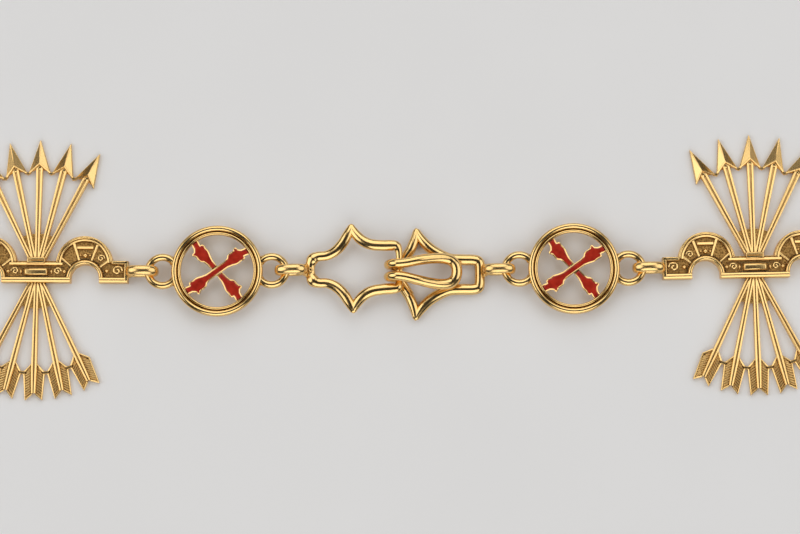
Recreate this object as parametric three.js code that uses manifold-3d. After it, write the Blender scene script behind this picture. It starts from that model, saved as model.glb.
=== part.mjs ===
// A chain of office: a collar of thirteen cast yoke-and-arrows links, fourteen enamelled roundels and a hook clasp.
// It lies flat on its back and closed. The clasp is in the middle of the front run, which is straight along X,
// and the arrowheads point into the neck opening, towards +Y. Millimetres, +Z up.

import * as THREE from "three";
import { mergeVertices } from "three/addons/utils/BufferGeometryUtils.js";
import Module from "manifold-3d";

const wasm = await Module();
wasm.setup();

// Driving dimensions of the collar.
const ROUNDELS_PER_SIDE = 7;
const FIRST_TURN = 0.75; // degrees between the first roundel and the first yoke link, on each side of the clasp
const JOINT_GAP = 0.3; // play between an upright ring and the eye that it holds

// The upright ring soldered to each end of a yoke link and of the clasp.
const RING = { reach: 6.2, height: 4.6, wall: 1.1, width: 1.5, root: 1.0, corner: 1.1, innerCorner: 0.15 };

// The roundel: a ring with a flat-lying eye at each end, and the metal bed of the cross inside.
const ROUNDEL = { outer: 9.1, inner: 7.2, thick: 2.0, middle: 2.15, sides: 18 };
const EYE = { offset: 10.9, outer: 3.6, hole: 2.1, thick: 1.4, sides: 10 };
const CROSS = { frontAngle: 34, backAngle: 129, bottom: 1.45, top: 2.5 };
const ENAMEL = { bottom: 2.56, top: 2.95, inset: 0.25 };

// The yoke link: a yoke crossed by five arrows, whose halves spring from a web above and below its middle.
const YOKE = { half: 18.4, bottom: -2.3, top: 2.1, thick: 2.2 };
const ARCH = { outerX: 9.8, outerY: 1.4, outerR: 5.7, innerX: 9.9, innerY: -1.6, innerR: 2.82 };
const BINDING = { halfWidth: 1.8, bottom: 1.6, top: 2.7, thick: 2.6 };
const ARROW = {
  angles: [-26.6, -13.3, 0, 13.3, 26.6],
  thick: 1.5, root: 5.6,
  tip: 26.6, barb: 20.1, barbHalf: 2.2, notch: 20.8, shaftHalf: 0.62,
  featherStart: 18.5, shoulder: 20.2, shoulderHalf: 2.1, vaneTip: 25.5, vaneHalf: 1.6, vaneNotch: 24.2,
};
const WEB = { upper: 7.7, lower: 7.4, margin: 0.12 };

// The clasp. Both frames are measured along X from their ring end.
const CLASP = { half: 17.8, bar: 1.9 };
const EYE_FRAME = { length: 19.35, endBar: 1.15, thick: 1.5, lift: 0.35 };
const BAR_HEIGHT = 3.0; // middle of the eye frame's end bar above the ground
const EYE_SWING = 1.2; // degrees that the eye frame lies turned about its ring end
const HOOK_SWING = 0.8; // the same for the hook
const HOOK_FRAME = { drop: 0.35, turn: -1.6 }; // how the hook's frame sits off the line of its tongue
const TONGUE = {
  wire: 1.9, lowHalf: 1.1, highHalf: 1.3, wideHalf: 2.35, lowZ: 1.0, highZ: 5.1, endZ: 3.3,
  bendX: 0.65, wideX: 9.4, endX: 12.25, sides: 6,
};

const rad = THREE.MathUtils.degToRad;
const YOKE_PIVOT = YOKE.half + RING.reach - RING.wall - JOINT_GAP + EYE.hole;
const CLASP_PIVOT = YOKE_PIVOT - YOKE.half + CLASP.half;

// Joining and cutting.

function solid(geometry) {
  geometry.deleteAttribute("normal");
  geometry.deleteAttribute("uv");
  const shell = mergeVertices(geometry, 1e-4);
  return new wasm.Manifold(new wasm.Mesh({
    numProp: 3,
    vertProperties: Float32Array.from(shell.attributes.position.array),
    triVerts: Uint32Array.from(shell.index.array),
  }));
}

function join(...solids) {
  return solids.reduce((whole, next) => whole.add(next));
}

function geometryOf(joined) {
  const mesh = joined.getMesh();
  const geometry = new THREE.BufferGeometry();
  geometry.setAttribute("position", new THREE.BufferAttribute(mesh.vertProperties, 3));
  geometry.setIndex(new THREE.BufferAttribute(mesh.triVerts, 1));
  return geometry;
}

// Outlines and plates.

const mirrored = (points) => points.map(([x, y]) => [x, -y]).reverse();

function arc(x, y, radius, fromDegrees, toDegrees, steps) {
  const points = [];
  for (let i = 0; i <= steps; i++) {
    const a = rad(fromDegrees + (toDegrees - fromDegrees) * i / steps);
    points.push([x + radius * Math.cos(a), y + radius * Math.sin(a)]);
  }
  return points;
}

function shapeOf(points) {
  return new THREE.Shape(points.map(([x, y]) => new THREE.Vector2(x, y)));
}

function plate(points, bottom, top, hole) {
  const geometry = new THREE.ExtrudeGeometry(shapeOf(points), { depth: top - bottom, bevelEnabled: false });
  geometry.translate(0, 0, bottom);
  if (!hole) return solid(geometry);
  return solid(geometry).subtract(plate(hole, bottom - 1, top + 1));
}

function washer(x, outer, inner, bottom, top, sides) {
  const rim = arc(x, 0, outer, 0, 360 - 360 / sides, sides - 1);
  const hole = arc(x, 0, inner, 0, 360 - 360 / sides, sides - 1);
  return plate(rim, bottom, top, hole);
}

function turned(points, degrees) {
  const c = Math.cos(rad(degrees));
  const s = Math.sin(rad(degrees));
  return points.map(([x, y]) => [x * c - y * s, x * s + y * c]);
}

// The upright ring, standing on z = 0 and reaching from start along +X.
function uprightRing(start) {
  const box = (x0, z0, x1, z1, cut) => [
    [x0 + cut, z0], [x1 - cut, z0], [x1, z0 + cut], [x1, z1 - cut],
    [x1 - cut, z1], [x0 + cut, z1], [x0, z1 - cut], [x0, z0 + cut],
  ];
  const low = start - RING.root;
  const high = start + RING.reach;
  const wall = RING.wall;
  const band = plate(
    box(low, 0, high, RING.height, RING.corner),
    -RING.width / 2, RING.width / 2,
    box(low + wall, wall, high - wall, RING.height - wall, RING.innerCorner),
  );
  return band.rotate([90, 0, 0]);
}

// The yoke link, with its middle at the origin and its flat back on z = 0.

function yokeOutline() {
  const rise = Math.asin((YOKE.top - ARCH.outerY) / ARCH.outerR) * 180 / Math.PI;
  const right = [
    [ARCH.innerX - ARCH.innerR, YOKE.bottom],
    ...arc(ARCH.innerX, ARCH.innerY, ARCH.innerR, 180, 0, 5),
    [ARCH.innerX + ARCH.innerR, YOKE.bottom],
    [YOKE.half, YOKE.bottom],
    [YOKE.half, YOKE.top],
    ...arc(ARCH.outerX, ARCH.outerY, ARCH.outerR, rise, 180 - rise, 7),
  ];
  const left = right.map(([x, y]) => [-x, y]).reverse();
  return [...right, ...left];
}

// The two halves of an arrow that points along +Y.
function headHalf() {
  const a = ARROW;
  const right = [[a.barbHalf, a.barb], [a.shaftHalf, a.notch], [a.shaftHalf, a.root]];
  return [[0, a.tip], ...right, ...right.map(([x, y]) => [-x, y]).reverse()];
}

function featherHalf() {
  const a = ARROW;
  const right = [
    [a.shaftHalf, -a.root], [a.shaftHalf, -a.featherStart], [a.shoulderHalf, -a.shoulder], [a.vaneHalf, -a.vaneTip],
  ];
  return [...right, [0, -a.vaneNotch], ...right.map(([x, y]) => [-x, y]).reverse()];
}

// The web that fills between the shafts near the yoke, a little wider than the outer ones.
function webOutline(radius) {
  const outer = ARROW.angles.at(-1);
  const half = ARROW.shaftHalf + WEB.margin;
  const right = turned([[half, 0], [half, radius]], -outer);
  const left = turned([[-half, radius], [-half, 0]], outer);
  return [...right, ...arc(0, 0, radius + 0.1, 90 - outer, 90 + outer, 4), ...left];
}

function yokeLink() {
  const arrows = ARROW.angles.flatMap((angle) => [headHalf(), featherHalf()]
    .map((outline) => plate(turned(outline, angle), 0, ARROW.thick)));
  const b = BINDING;
  const binding = [[-b.halfWidth, b.bottom], [b.halfWidth, b.bottom], [b.halfWidth, b.top], [-b.halfWidth, b.top]];
  return join(
    plate(yokeOutline(), 0, YOKE.thick),
    ...arrows,
    plate(webOutline(WEB.upper), 0, ARROW.thick),
    plate(turned(webOutline(WEB.lower), 180), 0, ARROW.thick),
    plate(binding, 0, b.thick),
    uprightRing(YOKE.half),
    uprightRing(YOKE.half).rotate([0, 0, 180]),
  );
}

// One arm of the ragged cross, with its lopped twigs. grow widens it, and end is where it stops.
function armOutline(grow, end) {
  const upper = [[0, 0.75], [2.9, 1.0], [4.6, 1.75], [6.2, 0.8], [end, 0.6]];
  const lower = [[end, 0.9], [6.0, 0.8], [4.2, 1.4], [0, 0.75]];
  return [...upper.map(([u, v]) => [u, v + grow]), ...lower.map(([u, v]) => [u, -v - grow])];
}

function cross(grow, end, bottom, top) {
  const arms = [CROSS.frontAngle, CROSS.backAngle].flatMap((angle) => [angle, angle + 180]);
  return join(...arms.map((angle) => plate(turned(armOutline(grow, end), angle), bottom, top)));
}

// The roundel lies flat, its middle plane at the height where its eyes clear the bottoms of the upright rings.
function roundel() {
  const low = ROUNDEL.middle - ROUNDEL.thick / 2;
  const eyeLow = ROUNDEL.middle - EYE.thick / 2;
  const eye = () => washer(EYE.offset, EYE.outer, EYE.hole, eyeLow, eyeLow + EYE.thick, EYE.sides);
  const bore = plate(arc(0, 0, ROUNDEL.inner + 0.2, 0, 340, 17), 0, 2 * ROUNDEL.middle);
  return join(
    washer(0, ROUNDEL.outer, ROUNDEL.inner, low, low + ROUNDEL.thick, ROUNDEL.sides),
    eye().subtract(bore),
    eye().rotate([0, 0, 180]).subtract(bore),
    cross(0, ROUNDEL.inner + 0.3, CROSS.bottom, CROSS.top),
  );
}

function enamelCross() {
  return cross(-ENAMEL.inset, ROUNDEL.inner - 0.4, ENAMEL.bottom, ENAMEL.top);
}

// The clasp's eye frame: its ring end on the left, its end bar on the right. It leans on the hook, so that its
// bar lies above the hook's lower wires and below the tongue.
function claspEye() {
  const outer = [
    [0, 1.4], [0.9, 3.6], [4.4, 3.6], [6.8, 5.3], [8.2, 7.0], [9.3, 8.95],
    [10.0, 7.6], [11.2, 6.6], [13.6, 5.6], [18.2, 5.4], [EYE_FRAME.length, 4.4],
  ];
  const endBar = EYE_FRAME.length - EYE_FRAME.endBar;
  const inner = [
    [1.65, 1.85], [4.6, 1.85], [7.2, 3.4], [9.1, 5.9], [10.6, 4.6], [13.4, 3.5], [endBar - 0.6, 3.45], [endBar, 2.9],
  ];
  const bottom = EYE_FRAME.lift;
  const frame = plate([...outer, ...mirrored(outer)], bottom, bottom + EYE_FRAME.thick, [...inner, ...mirrored(inner)]);
  const ring = uprightRing(0).rotate([0, 0, 180]);
  const toBar = RING.reach + EYE_FRAME.length - EYE_FRAME.endBar / 2;
  const rise = BAR_HEIGHT - EYE_FRAME.lift - EYE_FRAME.thick / 2;
  const lean = Math.asin(rise / toBar) * 180 / Math.PI;
  return join(frame, ring)
    .translate([RING.reach, 0, 0])
    .rotate([0, -lean, 0])
    .rotate([0, 0, EYE_SWING])
    .translate([-CLASP.half - RING.reach, 0, 0]);
}

// The tongue is one wire: out of the frame, up round the other frame's bar, and back over it in a long loop.
function tongueWire() {
  const t = TONGUE;
  const middle = (t.lowZ + t.highZ) / 2;
  const bend = (t.highZ - t.lowZ) / 2;
  const curl = arc(t.bendX, middle, bend, -90, -270, 6).map(([x, z], i) => {
    const up = i / 6;
    return [x, t.lowHalf + (t.highHalf - t.lowHalf) * up, z];
  });
  const half = [
    [4.0, 4.4, t.lowZ],
    [2.3, 2.5, t.lowZ],
    ...curl,
    [(t.bendX + t.wideX) / 2, (t.highHalf + t.wideHalf) / 2 + 0.15, (t.highZ + t.endZ) / 2 + 0.4],
    [t.wideX, t.wideHalf, t.endZ + 0.25],
    [t.endX - 0.9, t.wideHalf * 0.78, t.endZ],
  ];
  const back = half.map(([x, y, z]) => [x, -y, z]).reverse();
  const points = [...half, [t.endX, 0, t.endZ], ...back].map((p) => new THREE.Vector3(...p));
  const section = shapeOf(arc(0, 0, t.wire / 2, 0, 360 - 360 / t.sides, t.sides - 1));
  return solid(new THREE.ExtrudeGeometry(section, {
    extrudePath: new THREE.CatmullRomCurve3(points, false, "centripetal"),
    steps: 46,
    bevelEnabled: false,
  }));
}

// The clasp's hook frame: measured from its ring end, on the right, towards the tips and the wires.
function claspHook() {
  const outer = [
    [0, 1.4], [0.9, 4.0], [6.9, 4.0], [9.0, 4.9], [11.3, 6.4], [13.7, 9.2], [14.6, 6.9], [15.6, 5.1], [17.0, 3.2],
  ];
  const inner = [[16.0, 2.0], [14.4, 3.8], [13.3, 5.9], [11.8, 4.3], [9.4, 2.9], [6.9, 1.93], [1.96, 1.93]];
  const upper = [...outer, ...inner];
  const flat = [...upper, ...mirrored(upper)].map(([u, v]) => [CLASP.half - u, v]);
  const frame = plate(flat, 0, CLASP.bar)
    .rotate([0, 0, HOOK_FRAME.turn])
    .translate([0, -HOOK_FRAME.drop, 0]);
  return join(frame, tongueWire(), uprightRing(CLASP.half))
    .translate([-CLASP_PIVOT, 0, 0])
    .rotate([0, 0, HOOK_SWING])
    .translate([CLASP_PIVOT, 0, 0]);
}

// The collar's layout. The front run is nearly straight. Past it each joint turns by one of two angles, more at
// the sides than at the back, chosen so that the two halves meet in the middle of the last yoke link.

function walkHalf(sideTurn) {
  const joints = 2 * ROUNDELS_PER_SIDE - 2;
  const backTurn = (180 - FIRST_TURN) * 2 / joints - sideTurn;
  const places = [];
  let x = CLASP_PIVOT;
  let y = 0;
  let heading = 0;
  for (let i = 0; i < 2 * ROUNDELS_PER_SIDE; i++) {
    if (i === 1) heading += FIRST_TURN;
    if (i > 1) heading += i < 2 + joints / 2 ? sideTurn : backTurn;
    const half = i % 2 === 0 ? EYE.offset : YOKE_PIVOT;
    const stepX = half * Math.cos(rad(heading));
    const stepY = half * Math.sin(rad(heading));
    places.push({ x: x + stepX, y: y + stepY, heading });
    x += 2 * stepX;
    y += 2 * stepY;
  }
  return places;
}

function closedHalf() {
  let low = 10;
  let high = 28;
  for (let i = 0; i < 50; i++) {
    const middle = (low + high) / 2;
    if (walkHalf(middle).at(-1).x > 0) low = middle;
    else high = middle;
  }
  return walkHalf((low + high) / 2);
}

// Going round from the clasp's right: the right half, the back yoke link, then the left half as its mirror image.
function placesRound() {
  const right = closedHalf();
  const left = right.slice(0, -1).map(({ x, y, heading }) => ({ x: -x, y, heading: -heading })).reverse();
  return [...right, ...left];
}

// Materials and the model.

const gilt = () => new THREE.MeshStandardMaterial({ color: 0xd3a04a, roughness: 0.22, metalness: 1 });
const enamel = () => new THREE.MeshStandardMaterial({ color: 0xb2261f, roughness: 0.12, metalness: 0 });

const collar = new THREE.Group();

function place(name, geometry, material, { x, y, heading }) {
  const mesh = new THREE.Mesh(geometry, material);
  mesh.name = name;
  mesh.position.set(x, y, 0);
  mesh.rotation.z = rad(heading);
  collar.add(mesh);
}

const number = (n) => String(n).padStart(2, "0");
const shapes = {
  yoke: geometryOf(yokeLink()),
  roundel: geometryOf(roundel()),
  enamel: geometryOf(enamelCross()),
};

placesRound().forEach((spot, i) => {
  const n = number(Math.floor(i / 2) + 1);
  if (i % 2 === 1) {
    place(`yoke_link_${n}`, shapes.yoke, gilt(), spot);
  } else {
    place(`roundel_${n}`, shapes.roundel, gilt(), spot);
    place(`enamel_cross_${n}`, shapes.enamel, enamel(), spot);
  }
});

const atClasp = { x: 0, y: 0, heading: 0 };
place("clasp_eye", geometryOf(claspEye()), gilt(), atClasp);
place("clasp_hook", geometryOf(claspHook()), gilt(), atClasp);

// The origin is the middle of the collar's outline.
const outline = new THREE.Box3().setFromObject(collar);
collar.position.y = -(outline.min.y + outline.max.y) / 2;

export default collar;
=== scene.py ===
"""The chain of office, finished in polished gilt metal and red enamel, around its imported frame.

Each casting is modelled once, in millimetres at the origin, and copied to its places round the collar.
"""
import math

import bpy
from mathutils import Matrix, Vector


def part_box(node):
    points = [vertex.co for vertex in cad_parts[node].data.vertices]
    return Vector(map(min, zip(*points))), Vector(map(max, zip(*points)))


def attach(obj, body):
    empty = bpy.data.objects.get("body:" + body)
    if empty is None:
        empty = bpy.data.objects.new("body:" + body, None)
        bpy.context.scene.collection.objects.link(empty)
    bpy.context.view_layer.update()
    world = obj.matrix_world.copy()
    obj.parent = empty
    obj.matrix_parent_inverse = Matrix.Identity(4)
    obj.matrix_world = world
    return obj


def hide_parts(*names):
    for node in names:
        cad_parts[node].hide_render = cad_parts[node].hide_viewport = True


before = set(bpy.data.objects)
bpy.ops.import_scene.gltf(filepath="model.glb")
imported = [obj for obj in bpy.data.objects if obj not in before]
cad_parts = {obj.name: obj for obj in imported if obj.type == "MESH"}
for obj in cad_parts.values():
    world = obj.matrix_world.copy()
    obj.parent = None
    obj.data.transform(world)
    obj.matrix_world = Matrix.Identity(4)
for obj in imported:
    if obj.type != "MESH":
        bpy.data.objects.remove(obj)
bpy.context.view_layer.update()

# Sizes below are in millimetres and angles in degrees, except where a comment says otherwise.
MM = 0.001
MERGE = 0.01
LOOKS_UP = 0.9

# Yoke link: its plate, the crown and the opening of each arch, the heights of its relief, and its rings.
YOKE_HALF, YOKE_BOTTOM, YOKE_TOP = 18.4, -2.3, 2.1
ARCH_X, ARCH_Y, ARCH_R = 9.6, 1.4, 5.7
DOOR_X, DOOR_Y, DOOR_R = 9.75, -1.42, 2.82
GROUND = 1.5
SUNK = GROUND - 0.4
LINE_LEVEL = GROUND + 0.08
RIM_TOP = 2.2
ARROW_ANGLES = (-26.6, -13.3, 0.0, 13.3, 26.6)
RING_REACH, RING_HEIGHT, RING_WALL, RING_WIDTH = 6.2, 4.6, 1.25, 2.0

# Arrow: half the shaft's width at places along it, the head's tip, points and notch, and the barbs.
SHAFT_WIDTHS = ((-24.4, 0.46), (-19.4, 0.58), (-7.0, 0.5), (7.0, 0.5), (21.2, 0.66))
SHAFT_TOP = 0.88
HEAD_TIP, HEAD_POINTS, HEAD_NOTCH, HEAD_HALF = 26.9, 20.0, 20.85, 2.22
BARBS, FIRST_BARB, BARB_STEP = 12, -18.75, 0.52

# Roundel: its ring, its two eyes, and the bed and enamel of the ragged cross.
BEAD_HEIGHT = 2.5
OUTER_BEAD_AT, OUTER_BEAD = 8.56, 0.57
INNER_BEAD_AT, INNER_BEAD = 7.56, 0.31
RING_MIDDLE = 2.15
EYE_OFFSET, EYE_RING, EYE_WIRE = 10.9, 2.85, 0.74
CROSS_FRONT, CROSS_BACK = 34.0, 129.0
BED_BOTTOM, BED_TOP, BED_RIM = 1.45, 2.3, 0.16
ENAMEL_INSET, ENAMEL_REACH = 0.1, 7.16

# Clasp: the eye's frame, the bar that the hook takes, and the hook's frame and doubled wire.
CLASP_HALF = 17.8
EYE_LENGTH = 19.35
EYE_LIFT, EYE_THICK = 0.35, 1.5
BAR_HEIGHT = 3.0
HOOK_THICK = 1.9
WIRE = 1.03
EYE_SWING, HOOK_SWING = 1.2, 0.8
HOOK_DROP, HOOK_TURN, TONGUE_TURN = 0.35, -1.6, -2.2

# Layout of the collar, as the frame has it.
ROUNDELS_PER_SIDE = 7
FIRST_TURN = 0.75
YOKE_PIVOT = 25.3
CLASP_PIVOT = CLASP_HALF + YOKE_PIVOT - YOKE_HALF
beside_low, beside_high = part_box("roundel_01")
CLASP_Y = (beside_low.y + beside_high.y) / 2 / MM

# Marks in the finishes: how scratches lie, in radians, and are drawn out, and how much sky an open spot and
# a deep corner see, between which the finishes lay painted shade.
SCRATCH_TURN, SCRATCH_SQUEEZE = 0.5, 0.12
OPEN_SKY, DEEP_SKY = 0.72, 0.2

# Colours of the finishes.
# The last colour here is painted shade for the gilt's corners.
GOLD, DEEP_GOLD, SHADE_BROWN = (0.95, 0.66, 0.28, 1), (0.86, 0.55, 0.20, 1), (0.26, 0.11, 0.022, 1)
# These are painted shade: gold darkened for the sunk stippled ground, darker in the punch pits, and brown
# for its corners.
PIT_GOLD, RAISED_GOLD, GROUND_SHADE_BROWN = (0.12, 0.06, 0.014, 1), (0.45, 0.25, 0.075, 1), (0.16, 0.07, 0.02, 1)
# The last colour here is painted shade, along the metal round the enamel.
DEEP_RED, BRIGHT_RED, SHADE_RED = (0.17, 0.005, 0.003, 1), (0.62, 0.042, 0.018, 1), (0.16, 0.004, 0.004, 1)
FLOOR_GREY, FLOOR_PALE = (0.78, 0.77, 0.76, 1), (0.81, 0.80, 0.79, 1)
ROOM_GREY, ROOM_LIGHT = (0.55, 0.56, 0.58, 1), 0.05

# Stage, in metres. Each light has its direction and strength.
FLOOR_SIZE, FLOOR_DROP = 200.0, 0.00005
LIGHT_SPREAD = 56.0
LIGHTS = {
    "left_light": ((-0.58, 0.08, 0.50), 1.05),
    "right_light": ((0.58, 0.12, 0.48), 0.92),
    "back_light": ((0.0, 0.64, 0.56), 1.0),
    "front_light": ((0.05, -0.66, 0.52), 1.1),
}
VIEW_HEIGHT, VIEW_ROLL = 82.0, -0.4
VIEW_DISTANCE, VIEW_WIDTH = 0.45, 0.160
VIEW_MIDDLE = (0.9 * MM, (CLASP_Y + 0.7) * MM, 1.2 * MM)
SENSOR_WIDTH = 36.0


# ---------------------------------------------------------------- modelling

def clear():
    """Leaves edit mode and selects nothing."""
    if bpy.context.object and bpy.context.object.mode != "OBJECT":
        bpy.ops.object.mode_set(mode="OBJECT")
    bpy.ops.object.select_all(action="DESELECT")


def pick(*things):
    clear()
    for thing in things:
        thing.select_set(True)
    bpy.context.view_layer.objects.active = things[0]


def arc(x, y, radius, start, end, steps):
    """Points round a centre, from the start to the end angle."""
    turns = [math.radians(start + (end - start) * i / steps) for i in range(steps + 1)]
    return [(x + radius * math.cos(a), y + radius * math.sin(a)) for a in turns]


def turned(points, degrees):
    c, s = math.cos(math.radians(degrees)), math.sin(math.radians(degrees))
    return [(x * c - y * s, x * s + y * c) for x, y in points]


def mirror_x(points):
    return [(-x, y) for x, y in reversed(points)]


def face_outwards(merge=0.0):
    """Joins the active mesh's points that lie closer than merge, and turns its faces outwards."""
    bpy.ops.object.mode_set(mode="EDIT")
    bpy.ops.mesh.select_all(action="SELECT")
    if merge:
        bpy.ops.mesh.remove_doubles(threshold=merge)
    bpy.ops.mesh.normals_make_consistent(inside=False)
    bpy.ops.object.mode_set(mode="OBJECT")


def curve_mesh(name, splines, dimensions, cyclic, swell=None, **settings):
    """Draws poly splines on a new curve with these settings, and makes it a mesh. swell scales a wire."""
    bpy.ops.curve.primitive_bezier_circle_add(radius=1)
    drawn = bpy.context.object
    drawn.name = name
    data = drawn.data
    data.splines.clear()
    data.dimensions = dimensions
    for key, value in settings.items():
        setattr(data, key, value)
    for points in splines:
        spline = data.splines.new("POLY")
        spline.points.add(len(points) - 1)
        for point, place in zip(spline.points, points):
            point.co = (*place, 1.0) if len(place) == 3 else (*place, 0.0, 1.0)
        if swell:
            for point, size in zip(spline.points, swell):
                point.radius = size
        spline.use_cyclic_u = cyclic
    pick(drawn)
    bpy.ops.object.convert(target="MESH")
    face_outwards(MERGE)
    return bpy.context.object


def flat(name, outlines, bottom, top, edge=0.12, steps=2):
    """A plate with these outlines, the later ones being holes, whose edges are rounded."""
    made = curve_mesh(
        name, outlines, "2D", True, fill_mode="BOTH", extrude=(top - bottom) / 2 - edge,
        bevel_depth=edge, bevel_resolution=steps, offset=-edge,
    )
    slide(made, z=(top + bottom) / 2)
    return made


def wire(name, points, radius, closed=False, sides=8, swell=None):
    """A round wire along the points."""
    return curve_mesh(
        name, [points], "3D", closed, swell, fill_mode="FULL", bevel_depth=radius,
        bevel_resolution=max(1, sides // 2 - 2), use_fill_caps=not closed,
    )


def bead(name, points, radius, height, sides=6):
    """A half-sunk bead on a flat ground at this height."""
    return wire(name, [(x, y, height) for x, y in points], radius, sides=sides)


def slide(thing, x=0.0, y=0.0, z=0.0):
    thing.data.transform(Matrix.Translation((x, y, z)))


def turn(thing, degrees, axis="Z"):
    thing.data.transform(Matrix.Rotation(math.radians(degrees), 4, axis))


def stretch(thing, x=1.0, y=1.0, z=1.0):
    thing.data.transform(Matrix.Diagonal((x, y, z, 1.0)))


def torus(name, at, ring, thick, high=1.0, around=64, across=14):
    bpy.ops.mesh.primitive_torus_add(
        major_radius=ring, minor_radius=thick, major_segments=around, minor_segments=across,
    )
    made = bpy.context.object
    made.name = name
    stretch(made, z=high)
    slide(made, *at)
    return made


def lathed(name, profile, around):
    """A ring turned from a closed profile of radius and height."""
    made = torus(name, (0, 0, 0), 1.0, 0.1, 1.0, around, len(profile))
    for index, vertex in enumerate(made.data.vertices):
        radius, height = profile[index % len(profile)]
        angle = 2 * math.pi * (index // len(profile)) / around
        vertex.co = (radius * math.cos(angle), radius * math.sin(angle), height)
    return made


def ball(name, at, size, across=16):
    bpy.ops.mesh.primitive_uv_sphere_add(segments=across, ring_count=across // 2, radius=1)
    made = bpy.context.object
    made.name = name
    stretch(made, *size)
    slide(made, *at)
    return made


def copy_of(thing, matrix):
    """A copy with its own mesh, placed by the matrix."""
    made = thing.copy()
    made.data = thing.data.copy()
    made.data.transform(matrix)
    if matrix.determinant() < 0:
        made.data.flip_normals()
    bpy.context.collection.objects.link(made)
    return made


def mirrored(things):
    """Copies on the other side of the middle, so that one half is modelled."""
    return [copy_of(thing, Matrix.Diagonal((-1, 1, 1, 1))) for thing in things]


def joined(name, things, angle=32):
    """One mesh from several, shaded smooth where its faces meet at less than the angle."""
    pick(*things)
    if len(things) > 1:
        bpy.ops.object.join()
    made = bpy.context.object
    made.name = name
    bpy.ops.object.shade_smooth_by_angle(angle=math.radians(angle))
    return made


def coat(thing, material):
    thing.data.materials.clear()
    thing.data.materials.append(material)
    return thing


def coat_top(thing, top, sides):
    """One finish on the faces that look up, and another on the edges and the back."""
    coat(thing, top)
    thing.data.materials.append(sides)
    for face in thing.data.polygons:
        face.material_index = 0 if face.normal.z > LOOKS_UP else 1
    return thing


# ---------------------------------------------------------------- finishes

class Nodes:
    """Shorthand for adding and linking shader nodes."""

    def __init__(self, tree):
        self.tree = tree

    def add(self, kind, **settings):
        node = self.tree.nodes.new(kind)
        for key, value in settings.items():
            setattr(node, key, value)
        return node

    def link(self, source, target):
        self.tree.links.new(source, target)


def effect(name, inputs, outputs):
    """An empty node group with these named float inputs, a Vector input and the outputs."""
    tree = bpy.data.node_groups.new(name, "ShaderNodeTree")
    tree.interface.new_socket("Vector", in_out="INPUT", socket_type="NodeSocketVector")
    for key, value in inputs.items():
        socket = tree.interface.new_socket(key, in_out="INPUT", socket_type="NodeSocketFloat")
        socket.default_value = value
    for key in outputs:
        tree.interface.new_socket(key, in_out="OUTPUT", socket_type="NodeSocketFloat")
    nodes = Nodes(tree)
    return nodes, nodes.add("NodeGroupInput").outputs, nodes.add("NodeGroupOutput").inputs


def handling_marks():
    """Fine scratches and faint smears of polishing: Mark from 0 to 1, and Height for a bump."""
    nodes, given, result = effect("handling_marks", {"Scale": 900.0, "Smear": 120.0}, ("Mark", "Height"))
    smear = nodes.add("ShaderNodeTexNoise")
    smear.inputs["Detail"].default_value = 5.0
    nodes.link(given["Vector"], smear.inputs["Vector"])
    nodes.link(given["Smear"], smear.inputs["Scale"])
    squeeze = nodes.add("ShaderNodeMapping")
    squeeze.inputs["Rotation"].default_value = (0.0, 0.0, SCRATCH_TURN)
    squeeze.inputs["Scale"].default_value = (SCRATCH_SQUEEZE, 1.0, 1.0)
    nodes.link(given["Vector"], squeeze.inputs["Vector"])
    scratch = nodes.add("ShaderNodeTexNoise")
    scratch.inputs["Detail"].default_value = 3.0
    nodes.link(squeeze.outputs["Vector"], scratch.inputs["Vector"])
    nodes.link(given["Scale"], scratch.inputs["Scale"])
    nodes.link(smear.outputs["Fac"], result["Mark"])
    nodes.link(scratch.outputs["Fac"], result["Height"])
    return nodes.tree


def stipple():
    """Round punch marks over a matt ground: Pit from 0 to 1, and Height."""
    nodes, given, result = effect("stipple", {"Scale": 2600.0}, ("Pit", "Height"))
    cells = nodes.add("ShaderNodeTexVoronoi", feature="F1")
    nodes.link(given["Vector"], cells.inputs["Vector"])
    nodes.link(given["Scale"], cells.inputs["Scale"])
    pit = nodes.add("ShaderNodeMapRange")
    pit.inputs["From Min"].default_value = 0.1
    pit.inputs["From Max"].default_value = 0.55
    nodes.link(cells.outputs["Distance"], pit.inputs["Value"])
    nodes.link(pit.outputs["Result"], result["Pit"])
    nodes.link(cells.outputs["Distance"], result["Height"])
    return nodes.tree


def corner_shade():
    """How deep in a corner a point lies, for painting shade there: from 0, open, to 1, deep."""
    nodes, given, result = effect("corner_shade", {"Reach": 0.0006}, ("PaintedShade",))
    shelter = nodes.add("ShaderNodeAmbientOcclusion", samples=6, only_local=True)
    nodes.link(given["Reach"], shelter.inputs["Distance"])
    shade_mask = nodes.add("ShaderNodeMapRange")
    shade_mask.inputs["From Min"].default_value = OPEN_SKY
    shade_mask.inputs["From Max"].default_value = DEEP_SKY
    nodes.link(shelter.outputs["AO"], shade_mask.inputs["Value"])
    nodes.link(shade_mask.outputs["Result"], result["PaintedShade"])
    return nodes.tree


MARKS, STIPPLE, CORNER_SHADE = handling_marks(), stipple(), corner_shade()


def placed(nodes, group, vector, **values):
    """Places a node group in a material with its own values, and gives its outputs."""
    node = nodes.add("ShaderNodeGroup", node_tree=group)
    nodes.link(vector, node.inputs["Vector"])
    for key, value in values.items():
        node.inputs[key].default_value = value
    return node.outputs


def blended(nodes, factor, first, second):
    """A colour between two, each a value or another node's output."""
    mix = nodes.add("ShaderNodeMix", data_type="RGBA")
    nodes.link(factor, mix.inputs["Factor"])
    for socket, value in ((mix.inputs["A"], first), (mix.inputs["B"], second)):
        if isinstance(value, tuple):
            socket.default_value = value
        else:
            nodes.link(value, socket)
    return mix.outputs["Result"]


def spread(nodes, value, low, high):
    """Stretches a value from 0 to 1 so that it runs from low to high."""
    node = nodes.add("ShaderNodeMapRange")
    nodes.link(value, node.inputs["Value"])
    node.inputs["To Min"].default_value = low
    node.inputs["To Max"].default_value = high
    return node.outputs["Result"]


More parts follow.
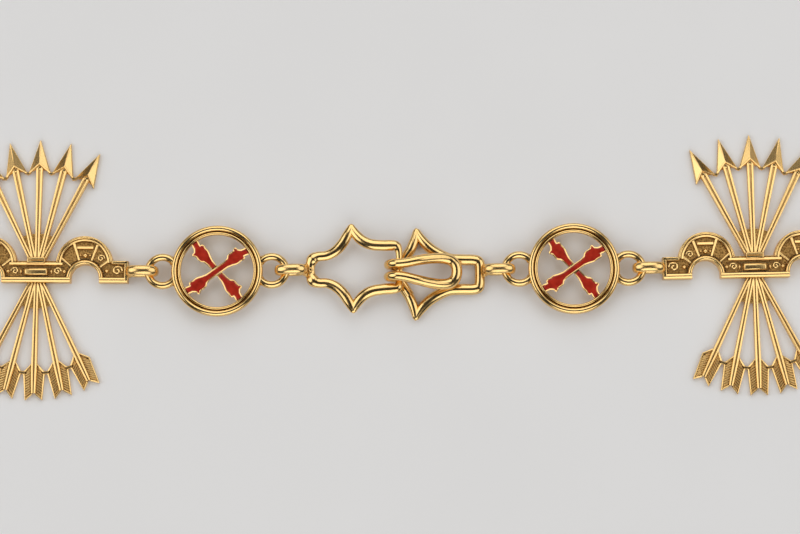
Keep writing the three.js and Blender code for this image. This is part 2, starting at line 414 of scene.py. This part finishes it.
def new_material(name, metallic, ior=1.5):
    """A principled material: itself, its nodes, the shader's sockets and the object coordinates."""
    material = bpy.data.materials.new(name)
    material.use_nodes = True
    nodes = Nodes(material.node_tree)
    material.node_tree.nodes.clear()
    shader = nodes.add("ShaderNodeBsdfPrincipled")
    shader.inputs["Metallic"].default_value = metallic
    shader.inputs["IOR"].default_value = ior
    output = nodes.add("ShaderNodeOutputMaterial")
    nodes.link(shader.outputs["BSDF"], output.inputs["Surface"])
    vector = nodes.add("ShaderNodeTexCoord").outputs["Object"]
    return material, nodes, shader.inputs, vector


def raised(nodes, height, strength, distance, target):
    """Feeds a bump made from this height to a shader's normal."""
    bump = nodes.add("ShaderNodeBump")
    bump.inputs["Strength"].default_value = strength
    bump.inputs["Distance"].default_value = distance
    nodes.link(height, bump.inputs["Height"])
    nodes.link(bump.outputs["Normal"], target)


def polished_gilt(name, rough_low, rough_high):
    """Gold with faint smears and scratches, darker in corners with painted shade."""
    material, nodes, shader, vector = new_material(name, 1.0)
    marks = placed(nodes, MARKS, vector)
    shade_mask = placed(nodes, CORNER_SHADE, vector)
    gold = blended(nodes, marks["Mark"], GOLD, DEEP_GOLD)
    # Where the corner mask is high, the gold turns to a painted-shade brown.
    nodes.link(blended(nodes, shade_mask["PaintedShade"], gold, SHADE_BROWN), shader["Base Color"])
    nodes.link(spread(nodes, marks["Mark"], rough_low, rough_high), shader["Roughness"])
    raised(nodes, marks["Height"], 0.12, 0.00004, shader["Normal"])
    return material


def stippled_ground():
    """Matt gold full of small round punch marks, darkened all over as painted shade for the sunk ground,
    most in the pits and in corners.
    """
    material, nodes, shader, vector = new_material("stippled_ground", 1.0)
    punch = placed(nodes, STIPPLE, vector)
    shade_mask = placed(nodes, CORNER_SHADE, vector, Reach=0.0012)
    # The darkened golds, darkest in the pits, and the brown in corners are painted shade; the punch marks
    # are the ground's own texture.
    gold = blended(nodes, punch["Pit"], PIT_GOLD, RAISED_GOLD)
    nodes.link(blended(nodes, shade_mask["PaintedShade"], gold, GROUND_SHADE_BROWN), shader["Base Color"])
    nodes.link(spread(nodes, punch["Pit"], 0.55, 0.38), shader["Roughness"])
    raised(nodes, punch["Height"], 0.8, 0.00012, shader["Normal"])
    return material


def red_enamel():
    """Glossy glass enamel, a little cloudy, and darker along the metal that holds it with painted shade."""
    material, nodes, shader, vector = new_material("red_enamel", 0.0, 1.45)
    cloud = placed(nodes, MARKS, vector, Scale=1500.0, Smear=900.0)
    depth = placed(nodes, CORNER_SHADE, vector, Reach=0.0007)
    red = blended(nodes, cloud["Mark"], DEEP_RED, BRIGHT_RED)
    # The darker red where the mask finds corners along the metal is painted shade.
    nodes.link(blended(nodes, depth["PaintedShade"], red, SHADE_RED), shader["Base Color"])
    nodes.link(spread(nodes, cloud["Mark"], 0.10, 0.24), shader["Roughness"])
    shader["Coat Weight"].default_value = 0.15
    shader["Coat Roughness"].default_value = 0.05
    raised(nodes, cloud["Height"], 0.25, 0.00006, shader["Normal"])
    return material


GILT = polished_gilt("polished_gilt", 0.12, 0.22)
SATIN_GILT = polished_gilt("satin_gilt", 0.18, 0.32)
WORN_GILT = polished_gilt("worn_gilt", 0.28, 0.42)
STIPPLED = stippled_ground()
ENAMEL = red_enamel()


# ---------------------------------------------------------------- yoke link

def upright_ring(start):
    """The ring soldered on at start, standing on edge, with its wire wider than it is thick."""
    half = RING_WALL / 2
    left, right = start - 0.5 + half, start + RING_REACH - half
    middle, high = (left + right) / 2, RING_HEIGHT / 2
    half_steps, roundness = 20, 0.82
    line = []
    for i in range(2 * half_steps):
        c, s = math.cos(i * math.pi / half_steps), math.sin(i * math.pi / half_steps)
        x = math.copysign(abs(c) ** roundness, c) * (right - left) / 2
        z = math.copysign(abs(s) ** roundness, s) * (high - half)
        line.append((middle + x, 0.0, high + z))
    ring = wire("ring", line, half, closed=True, sides=14)
    stretch(ring, y=RING_WIDTH / RING_WALL)
    solder = ball("solder", (start + 0.2, 0.0, 1.2), (0.85, 1.2, 1.1))
    root = ball("solder", (start - 0.1, 0.0, 1.35), (0.5, 1.5, 0.95))
    return [coat(ring, SATIN_GILT), coat(solder, WORN_GILT), coat(root, WORN_GILT)]


def yoke_outline():
    """The plate from above: a straight bar with an arch on each half, open in the middle of each."""
    rise = math.degrees(math.asin((YOKE_TOP - ARCH_Y) / ARCH_R))
    right = (
        [(DOOR_X - DOOR_R, YOKE_BOTTOM)]
        + arc(DOOR_X, DOOR_Y, DOOR_R, 180, 0, 20)
        + [(DOOR_X + DOOR_R, YOKE_BOTTOM), (YOKE_HALF, YOKE_BOTTOM), (YOKE_HALF, YOKE_TOP)]
        + arc(ARCH_X, ARCH_Y, ARCH_R, rise, 180 - rise, 30)
    )
    return right + mirror_x(right)


def band(x, y, inner, outer, start, end, bottom, top, edge):
    """A flat ring or part of one, from the start to the end angle."""
    outline = arc(x, y, outer, start, end, 28) + arc(x, y, inner, end, start, 28)
    return flat("band", [outline], bottom, top, edge)


def bar(x0, y0, x1, y1, bottom, top, edge):
    """A straight bar between two corners, with rounded edges."""
    return flat("bar", [[(x0, y0), (x1, y0), (x1, y1), (x0, y1)]], bottom, top, edge)


def arch_relief():
    """The raised work on the right arch: rims, lines, spokes, bosses, a scroll and the end block."""
    made = [
        band(ARCH_X, ARCH_Y, ARCH_R - 0.55, ARCH_R - 0.02, 4, 176, SUNK, RIM_TOP, 0.24),
        band(DOOR_X, DOOR_Y, DOOR_R, DOOR_R + 0.85, 0, 180, SUNK, RIM_TOP, 0.36),
        bead("line", arc(ARCH_X, ARCH_Y, ARCH_R - 0.82, 4, 176, 40), 0.25, GROUND + 0.28, sides=8),
        bead("line", arc(DOOR_X, DOOR_Y, DOOR_R + 1.15, 8, 172, 24), 0.14, GROUND + 0.1),
    ]
    for angle in (38, 70, 108, 140):
        c, s = math.cos(math.radians(angle)), math.sin(math.radians(angle))
        along = (ARCH_X - DOOR_X) * c + (ARCH_Y - DOOR_Y) * s
        apart = (ARCH_X - DOOR_X) ** 2 + (ARCH_Y - DOOR_Y) ** 2
        inner, outer = DOOR_R + 1.0, along + math.sqrt(along ** 2 - apart + (ARCH_R - 1.0) ** 2)
        line = [(DOOR_X + r * c, DOOR_Y + r * s, LINE_LEVEL) for r in (inner, outer)]
        made.append(wire("spoke", line, 0.3, sides=8, swell=(0.75, 1.1)))
    made.append(bead("line", [(DOOR_X - 1.6, 4.75), (DOOR_X + 1.6, 4.75)], 0.3, GROUND + 0.2, sides=8))
    made.append(ball("boss", (DOOR_X, 3.2, GROUND), (0.5, 0.5, 0.5)))
    for side in (-1, 1):
        made.append(ball("boss", (DOOR_X + side * 0.95, 3.25, GROUND), (0.28, 0.28, 0.4)))
    made += scroll(DOOR_X + 3.17, DOOR_Y + 4.06, 0.75, 0.14)
    made += end_block()
    return made


def rail(x0, x1):
    """The double moulding along the bottom edge of the yoke."""
    low, high = YOKE_BOTTOM + 0.26, YOKE_BOTTOM + 0.78
    return [
        bar(x0, YOKE_BOTTOM, x1, YOKE_BOTTOM + 1.0, SUNK, GROUND + 0.3, 0.16),
        bead("rail", [(x0 + 0.1, low), (x1 - 0.1, low)], 0.26, RIM_TOP - 0.2, sides=8),
        bead("rail", [(x0 + 0.1, high), (x1 - 0.1, high)], 0.22, RIM_TOP - 0.22, sides=8),
    ]


def scroll(x, y, size, thick):
    """A rolled-up scroll of a turn and a third."""
    steps, step_angle = 14, 0.65
    line = []
    for i in range(steps):
        reach, angle = size * (1 - i / (steps + 1)), step_angle * i
        line.append((x + reach * math.cos(angle), y + reach * math.sin(angle)))
    return [bead("scroll", line, thick, GROUND + 0.1, sides=8)]


def end_block():
    """The relief between the right arch and the end of the plate."""
    left, right = DOOR_X + DOOR_R, YOKE_HALF
    made = [
        *rail(left, right),
        bar(left + 2.5, YOKE_TOP - 0.7, right, YOKE_TOP, SUNK, RIM_TOP, 0.2),
        bar(right - 0.75, YOKE_BOTTOM, right, YOKE_TOP, SUNK, RIM_TOP, 0.2),
        bead("line", [(left + 0.9, -1.1), (right - 0.7, -1.1)], 0.13, LINE_LEVEL),
    ]
    made += scroll(16.2, 0.15, 1.05, 0.19)
    made.append(ball("boss", (14.1, 0.1, GROUND), (0.42, 0.42, 0.45)))
    return made


def middle_relief():
    """The scroll, bosses and post beside the middle plaque, on the right."""
    return [
        *scroll(4.25, 0.0, 0.78, 0.16),
        ball("boss", (5.6, -0.05, GROUND), (0.4, 0.4, 0.42)),
        ball("boss", (3.05, -0.1, GROUND), (0.24, 0.5, 0.34)),
        bead("post", [(6.75, -1.2), (6.45, 0.9)], 0.2, LINE_LEVEL),
    ]


def binding():
    """The mouldings between the two arches, with the plaque and the band that bind the sheaf."""
    span = DOOR_X - DOOR_R
    plaque_line = [(-2.75, -1.0), (2.75, -1.0), (2.75, 0.62), (-2.75, 0.62), (-2.75, -1.0)]
    return [
        *rail(-span, span),
        bead("rail", [(-5.3, 1.45), (5.3, 1.45)], 0.28, RIM_TOP - 0.25, sides=8),
        bead("line", [(-5.6, 0.72), (5.6, 0.72)], 0.11, LINE_LEVEL),
        bead("line", [(-span + 0.2, -1.12), (span - 0.2, -1.12)], 0.11, LINE_LEVEL),
        bar(-2.3, -0.85, 2.3, 0.55, SUNK, RIM_TOP + 0.1, 0.42),
        bar(-1.8, 1.5, 1.8, 2.75, SUNK, 2.55, 0.22),
        bead("line", [(-1.5, 2.12), (1.5, 2.12)], 0.13, 2.52),
        bead("line", plaque_line, 0.11, LINE_LEVEL),
    ]


def shaft():
    """A rod that swells towards the head, with a bead along each edge."""
    sides = [(w, y) for y, w in SHAFT_WIDTHS]
    rod = flat("shaft", [sides + mirror_x(sides)], 0.0, SHAFT_TOP, 0.12)
    edges = []
    for side in (-1, 1):
        line = [(side * (w - 0.22), y, SHAFT_TOP + 0.04) for y, w in SHAFT_WIDTHS]
        edges.append(wire("edge", line, 0.23, sides=8, swell=[w / 0.55 for _, w in SHAFT_WIDTHS]))
    return [coat(rod, WORN_GILT), *(coat(p, SATIN_GILT) for p in edges)]


def arrow_head():
    """A barbed head: a plate with a raised ridge, a chevron across its foot, a spine and a collar."""
    half, notch = HEAD_HALF, SHAFT_WIDTHS[-1][1]
    outline = [
        (0, HEAD_TIP), (-half, HEAD_POINTS), (-notch, HEAD_NOTCH), (notch, HEAD_NOTCH), (half, HEAD_POINTS),
    ]
    head = flat("head", [outline], 0.0, 0.75, 0.08, 1)
    bpy.ops.mesh.primitive_cone_add(vertices=4, radius1=1, radius2=0, depth=1)
    ridge = bpy.context.object
    corners = [(0, 26.75, 0.7), (-2.1, 20.15, 0.7), (0, 21.0, 0.7), (2.1, 20.15, 0.7), (0, 21.9, 1.7)]
    for vertex, corner in zip(ridge.data.vertices, corners):
        vertex.co = corner
    face_outwards()
    chevron = wire("chevron", [(-2.05, 20.2, 0.7), (0, 21.9, 1.62), (2.05, 20.2, 0.7)], 0.2, sides=8)
    spine = wire("spine", [(0, 21.7, 1.55), (0, 26.5, 0.75)], 0.13, sides=6)
    collar = ball("collar", (0, 21.2, 0.8), (0.6, 0.6, 0.5), 12)
    return [coat(p, SATIN_GILT) for p in (head, ridge, chevron, spine, collar)]


def feathers():
    """Two vanes with slanting barbs, on either side of the shaft's end, cut to a swallow tail."""
    vane = flat("vane", [[(0.25, -18.4), (2.15, -20.2), (1.72, -25.8), (0.25, -24.5)]], 0.0, 0.45, 0.06, 1)
    barbs = []
    for i in range(BARBS):
        y = FIRST_BARB - BARB_STEP * i
        reach = min(1.2 + 0.3 * i, 1.98 - 0.035 * i)
        barbs.append(wire("barb", [(0.4, y, 0.44), (reach, y - 0.9, 0.44)], 0.2, sides=10))
    edge = bead("edge", [(0.4, -18.5), (2.02, -20.25), (1.64, -25.6), (0.4, -24.5)], 0.2, 0.6, sides=8)
    # The vane's top takes the stippled gold, darkened as painted shade between the barbs.
    coat_top(vane, STIPPLED, SATIN_GILT)
    right = [vane, *(coat(p, WORN_GILT) for p in barbs), coat(edge, SATIN_GILT)]
    return right + mirrored(right)


def arrow():
    """One arrow along y, its head up and its feathers down."""
    return joined("arrow", shaft() + arrow_head() + feathers(), 25)


def fan(radius, middle):
    """The thin web that fills the sheaf's middle, above or below the yoke."""
    outline = [(0, 0)] + arc(0, 0, radius, middle - 28, middle + 28, 24)
    return flat("fan", [outline], 0.0, 0.95, 0.1)


def yoke_link():
    """The whole casting: the yoke across a sheaf of five arrows, with a ring at each end."""
    ground = flat("ground", [yoke_outline()], 0.0, GROUND, 0.12)
    relief = arch_relief() + middle_relief()
    relief += mirrored(relief)
    relief += binding()
    pattern = arrow()
    arrows = [copy_of(pattern, Matrix.Rotation(math.radians(a), 4, "Z")) for a in ARROW_ANGLES]
    bpy.data.objects.remove(pattern)
    ties = []
    for low, high in zip(ARROW_ANGLES, ARROW_ANGLES[1:]):
        middle = (low + high) / 2
        ties.append(bead("tie", turned([(-0.55, 20.4), (0, 20.0), (0.55, 20.4)], middle), 0.34, 0.55))
        ties.append(bead("tie", turned([(-0.6, -20.4), (0.6, -20.4)], middle), 0.36, 0.58))
    # The tops of the webs take the stippled gold, darkened as painted shade for the sunk parts.
    webs = [coat_top(fan(7.7, 90), STIPPLED, WORN_GILT), coat_top(fan(7.4, -90), STIPPLED, WORN_GILT)]
    rings = upright_ring(YOKE_HALF)
    rings += mirrored(rings)
    gilt = [coat(p, SATIN_GILT) for p in relief + ties]
    # The ground's top takes the stippled gold, darkened as painted shade for the sunk parts.
    coat_top(ground, STIPPLED, WORN_GILT)
    return joined("yoke_pattern", [ground, *gilt, *arrows, *webs, *rings])


# ---------------------------------------------------------------- roundel

# The two edges of an arm of the ragged cross: along it from the middle, and across it.
ARM_UPPER = [
    (0, 0.56), (2.2, 0.62), (3.1, 0.86), (3.5, 1.3), (4.0, 1.42), (4.5, 1.38), (5.0, 1.46),
    (5.35, 1.8), (5.6, 1.72), (5.68, 1.2), (6.3, 0.72), (7.0, 0.58), (7.5, 0.55),
]
ARM_LOWER = [
    (7.5, -0.6), (7.0, -0.7), (6.4, -0.55), (6.05, -0.5), (5.95, -0.95), (5.6, -1.1), (5.0, -1.0),
    (4.4, -1.08), (3.9, -1.0), (3.2, -0.76), (2.2, -0.54), (0, -0.54),
]


def arm(start, angle, inset=0.0, end=None):
    """One arm of the ragged cross from start outwards, drawn in by inset and stopped at end."""
    upper = [(max(u, start), v - inset) for u, v in ARM_UPPER]
    lower = [(max(u, start), v + inset) for u, v in ARM_LOWER]
    line = upper + lower
    if end is not None:
        line = [(min(u, end), v) for u, v in line]
    return turned(line, angle)


def front_bar(inset=0.0, end=None):
    """Both front arms as one outline, right across the roundel."""
    right = arm(0.0, CROSS_FRONT, inset, end)[1:-1]
    left = arm(0.0, CROSS_FRONT + 180, inset, end)[1:-1]
    return right + left


def cross_bed():
    """The metal under the enamel, with a raised rim. The back arms lie a little lower."""
    front = front_bar()
    made = [
        flat("bed", [front], BED_BOTTOM, BED_TOP, 0.06),
        wire("rim", [(x, y, BED_TOP + 0.12) for x, y in front], BED_RIM, closed=True),
    ]
    for angle in (CROSS_BACK, CROSS_BACK + 180):
        back = arm(0.8, angle)
        made.append(flat("bed", [back], BED_BOTTOM, BED_TOP - 0.08, 0.06))
        made.append(wire("rim", [(x, y, BED_TOP + 0.03) for x, y in back], BED_RIM, closed=True))
    return made


# The ring's section, radius and height: a broad bead outside, a groove, and a narrow bead inside.
RING_PROFILE = (
    arc(OUTER_BEAD_AT, BEAD_HEIGHT, OUTER_BEAD, 0, 185, 12) + [(7.97, 2.1), (7.88, 2.1)]
    + arc(INNER_BEAD_AT, BEAD_HEIGHT, INNER_BEAD, 0, 180, 9)
    + [(7.25, 1.7), (7.4, 1.3), (7.8, 1.14), (8.7, 1.14), (9.02, 1.3), (9.13, 1.7)]
)


def roundel():
    """The ring with its bed for the cross, and an eye soldered on at each side."""
    line = [(x, y, RING_MIDDLE) for x, y in arc(EYE_OFFSET, 0.0, EYE_RING, -141, 141, 44)]
    eye = [wire("eye", line, EYE_WIRE, sides=18)]
    for side in (-1, 1):
        eye.append(ball("solder", (8.95, side * 2.05, RING_MIDDLE), (0.6, 1.0, 0.66)))
    eye += mirrored(eye)
    ring = [lathed("ring", RING_PROFILE, 96)]
    return joined("roundel_pattern", [coat(p, GILT) for p in ring + eye + cross_bed()])


def enamel():
    """The red filling of one cross, drawn in from the rim."""
    front = front_bar(ENAMEL_INSET, ENAMEL_REACH)
    parts = [flat("enamel", [front], BED_TOP - 0.1, BED_TOP + 0.32, 0.18, 3)]
    for angle in (CROSS_BACK, CROSS_BACK + 180):
        back = arm(0.95, angle, ENAMEL_INSET, ENAMEL_REACH)
        parts.append(flat("enamel", [back], BED_TOP - 0.15, BED_TOP + 0.2, 0.18, 3))
    return joined("enamel_pattern", [coat(p, ENAMEL) for p in parts])


# ---------------------------------------------------------------- clasp

# Half of each frame's middle line: distance from its ring end, distance across, half the wire's width.
EYE_LINE = [
    (0.9, 0, 0.88), (0.98, 1.1, 0.98), (1.42, 2.12, 1.25), (2.5, 2.66, 1.0),
    (4.2, 2.78, 0.98), (5.9, 3.55, 1.05), (7.4, 5.0, 1.08), (8.5, 6.8, 1.0),
    (9.05, 7.9, 0.8), (9.3, 8.45, 0.62), (9.55, 7.9, 0.8), (10.3, 6.7, 1.0), (11.5, 5.5, 1.08),
    (13.2, 4.68, 1.1), (15.5, 4.4, 1.1), (17.2, 4.35, 1.1), (18.2, 4.15, 1.0), (18.66, 3.2, 0.72),
    (EYE_LENGTH - 0.62, 2.0, 0.62), (EYE_LENGTH - 0.62, 0, 0.6),
]
HOOK_LINE = [
    (17.0, 1.9, 0.9), (16.2, 2.9, 0.95), (15.05, 4.5, 1.0), (14.3, 6.2, 0.98), (13.9, 7.7, 0.8),
    (13.7, 8.8, 0.6), (13.2, 7.9, 0.8), (12.3, 6.6, 1.0), (10.9, 5.2, 1.08), (9.2, 4.1, 1.1),
    (7.0, 3.15, 1.1), (4.5, 2.98, 1.1), (2.3, 2.95, 1.1), (1.25, 2.6, 1.1),
    (0.98, 1.6, 1.05), (0.98, 0, 1.0),
]


def whole_line(half, flip, closed):
    """The half line and its mirror image, smoothed: places, and the wire's half width at each."""
    back = [(u, -v, r) for u, v, r in reversed(half)]
    line = half + back[1:-1] if closed else half + back[1:]
    smooth = rounded_loop(line, 4) if closed else smooth_run(line, 4)
    return [(CLASP_HALF - u if flip else u, v, 0.0) for u, v, _ in smooth], [r for _, _, r in smooth]


def clasp_eye():
    """The left frame, which the hook takes hold of. It leans up from its ring to its bar."""
    places, widths = whole_line(EYE_LINE, False, True)
    loop = wire("loop", places, 1.0, closed=True, sides=18, swell=widths)
    stretch(loop, z=EYE_THICK / 2)
    slide(loop, z=EYE_LIFT + EYE_THICK / 2)
    ring = upright_ring(0.0)
    for part in ring:
        turn(part, 180)
    dimple = torus("dimple", (1.0, 0, EYE_LIFT + EYE_THICK * 0.95), 0.32, 0.16)
    piece = joined("clasp_eye_pattern", [coat(loop, GILT), coat(dimple, WORN_GILT), *ring], 60)
    to_bar = RING_REACH + EYE_LENGTH - 0.6
    lean = math.degrees(math.asin((BAR_HEIGHT - EYE_LIFT - EYE_THICK / 2) / to_bar))
    slide(piece, x=RING_REACH)
    turn(piece, -lean, "Y")
    turn(piece, EYE_SWING)
    slide(piece, x=-CLASP_HALF - RING_REACH)
    return piece


def tongue():
    """The doubled wire: out of the frame, up round the other frame's bar, and back over it in a loop."""
    low, high, end = 1.0, 5.1, 3.35
    bend, middle, bend_x = (high - low) / 2, (high + low) / 2, 0.65
    curl = [(x, 1.15 + 0.1 * i / 8, z) for i, (x, z) in enumerate(arc(bend_x, middle, bend, -90, -270, 8))]
    half = [
        (2.9, 4.6, low), (2.1, 3.4, low), (1.3, 2.1, low), *curl, (2.2, 1.45, 5.05), (4.4, 1.95, 4.85),
        (6.8, 2.4, 4.3), (9.2, 2.6, 3.7), (10.9, 2.3, end), (11.9, 1.35, end),
    ]
    points = half + [(12.2, 0.0, end)] + [(x, -y, z) for x, y, z in reversed(half)]
    line = smooth_run(points, 5)
    swell = [0.93 + 0.15 * max(0.0, x / 12.2) for x, _, _ in line]
    return wire("tongue", line, WIRE, sides=16, swell=swell)


def rounded_loop(points, steps):
    """A smooth closed line through points in space."""
    n = len(points)
    run = smooth_run([points[-1], *points, points[0], points[1]], steps)
    return run[steps:steps * (n + 1)]


def smooth_run(points, steps):
    """A smooth open line through points in space."""
    line = []
    for i in range(len(points) - 1):
        p1, p2 = Vector(points[i]), Vector(points[i + 1])
        p0 = Vector(points[i - 1]) if i else p1 * 2 - p2
        p3 = Vector(points[i + 2]) if i + 2 < len(points) else p2 * 2 - p1
        for j in range(steps):
            t = j / steps
            line.append(tuple(0.5 * (
                2 * p1 + (p2 - p0) * t + (2 * p0 - 5 * p1 + 4 * p2 - p3) * t * t
                + (3 * p1 - p0 - 3 * p2 + p3) * t ** 3
            )))
    return line + [tuple(points[-1])]


def clasp_hook():
    """The right frame, open at its end, where the doubled wire comes out of it as the hook."""
    places, widths = whole_line(HOOK_LINE, True, False)
    loop = wire("loop", places, 1.0, sides=18, swell=widths)
    stretch(loop, z=HOOK_THICK / 2.1)
    slide(loop, z=HOOK_THICK / 2)
    turn(loop, HOOK_TURN)
    slide(loop, y=-HOOK_DROP)
    hook = tongue()
    turn(hook, TONGUE_TURN)
    parts = [coat(loop, GILT), coat(hook, GILT), *upright_ring(CLASP_HALF)]
    piece = joined("clasp_hook_pattern", parts, 60)
    slide(piece, x=-CLASP_PIVOT)
    turn(piece, HOOK_SWING)
    slide(piece, x=CLASP_PIVOT)
    return piece


# ---------------------------------------------------------------- the collar

def walk_half(side_turn):
    """Where the links of the right half lie, from the clasp round to the back, in the frame's order."""
    joints = 2 * ROUNDELS_PER_SIDE - 2
    back_turn = (180 - FIRST_TURN) * 2 / joints - side_turn
    places, x, y, heading = [], CLASP_PIVOT, 0.0, 0.0
    for i in range(2 * ROUNDELS_PER_SIDE):
        if i == 1:
            heading += FIRST_TURN
        if i > 1:
            heading += side_turn if i < 2 + joints / 2 else back_turn
        half = EYE_OFFSET if i % 2 == 0 else YOKE_PIVOT
        step_x, step_y = half * math.cos(math.radians(heading)), half * math.sin(math.radians(heading))
        places.append((x + step_x, y + step_y, heading))
        x, y = x + 2 * step_x, y + 2 * step_y
    return places


def places_round():
    """Every link's place. The turn at a side joint is halved in on, so that the loop closes at the back."""
    low, high, rounds = 10.0, 28.0, 50
    for _ in range(rounds):
        middle = (low + high) / 2
        if walk_half(middle)[-1][0] > 0:
            low = middle
        else:
            high = middle
    right = walk_half((low + high) / 2)
    return right + [(-x, y, -heading) for x, y, heading in reversed(right[:-1])]


def settle(pattern, name, node, place):
    """Copies a pattern to its place on the collar, in metres, and lets it stand for a node."""
    x, y, heading = place
    to_frame = (
        Matrix.Scale(MM, 4) @ Matrix.Translation((x, CLASP_Y + y, 0))
        @ Matrix.Rotation(math.radians(heading), 4, "Z")
    )
    piece = copy_of(pattern, to_frame)
    piece.name = name
    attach(piece, "root")
    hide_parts(node)


patterns = {
    "yoke": yoke_link(),
    "roundel": roundel(),
    "enamel": enamel(),
    "clasp_eye": clasp_eye(),
    "clasp_hook": clasp_hook(),
}

for index, spot in enumerate(places_round()):
    number = f"{index // 2 + 1:02d}"
    if index % 2:
        settle(patterns["yoke"], f"gilt_yoke_link_{number}", f"yoke_link_{number}", spot)
    else:
        settle(patterns["roundel"], f"gilt_roundel_{number}", f"roundel_{number}", spot)
        settle(patterns["enamel"], f"red_cross_{number}", f"enamel_cross_{number}", spot)
for part in ("clasp_eye", "clasp_hook"):
    settle(patterns[part], f"gilt_{part}", part, (0.0, 0.0, 0.0))
for pattern in patterns.values():
    bpy.data.objects.remove(pattern)


# ---------------------------------------------------------------- stage, lights and camera

def pale_floor():
    clear()
    bpy.ops.mesh.primitive_plane_add(size=FLOOR_SIZE)
    floor = bpy.context.object
    floor.name = "floor"
    slide(floor, z=-FLOOR_DROP)
    material, nodes, shader, vector = new_material("pale_floor", 0.0)
    grain = nodes.add("ShaderNodeTexNoise")
    grain.inputs["Scale"].default_value = 30.0
    nodes.link(vector, grain.inputs["Vector"])
    nodes.link(blended(nodes, grain.outputs["Fac"], FLOOR_GREY, FLOOR_PALE), shader["Base Color"])
    shader["Roughness"].default_value = 0.7
    coat(floor, material)


def soft_sun(name, towards, strength):
    """A wide soft light far off in this direction, so the whole collar is lit alike."""
    light = bpy.data.lights.new(name, "SUN")
    light.angle, light.energy = math.radians(LIGHT_SPREAD), strength
    lamp = bpy.data.objects.new(name, light)
    lamp.rotation_euler = Vector(towards).to_track_quat("Z", "Y").to_euler()
    lamp.location = Vector(towards)
    bpy.context.collection.objects.link(lamp)


def room():
    """A plain dim grey room."""
    world = bpy.data.worlds.new("room")
    bpy.context.scene.world = world
    world.use_nodes = True
    background = world.node_tree.nodes["Background"].inputs
    background["Color"].default_value = ROOM_GREY
    background["Strength"].default_value = ROOM_LIGHT


def camera():
    """Looks down on the clasp, nearly from straight above."""
    data = bpy.data.cameras.new("camera")
    data.sensor_width = SENSOR_WIDTH
    data.lens = data.sensor_width * VIEW_DISTANCE / VIEW_WIDTH
    data.clip_start, data.clip_end = 0.01, 300.0
    eye = bpy.data.objects.new("camera", data)
    height = math.radians(VIEW_HEIGHT)
    back = Vector((0, -math.cos(height), math.sin(height)))
    eye.location = Vector(VIEW_MIDDLE) + back * VIEW_DISTANCE
    roll = Matrix.Rotation(math.radians(VIEW_ROLL), 4, back)
    eye.rotation_euler = (roll @ (-back).to_track_quat("-Z", "Y").to_matrix().to_4x4()).to_euler()
    bpy.context.collection.objects.link(eye)
    bpy.context.scene.camera = eye


bpy.context.scene.view_settings.view_transform = "Standard"
pale_floor()
room()
camera()
for light_name, (direction, power) in LIGHTS.items():
    soft_sun(light_name, direction, power)
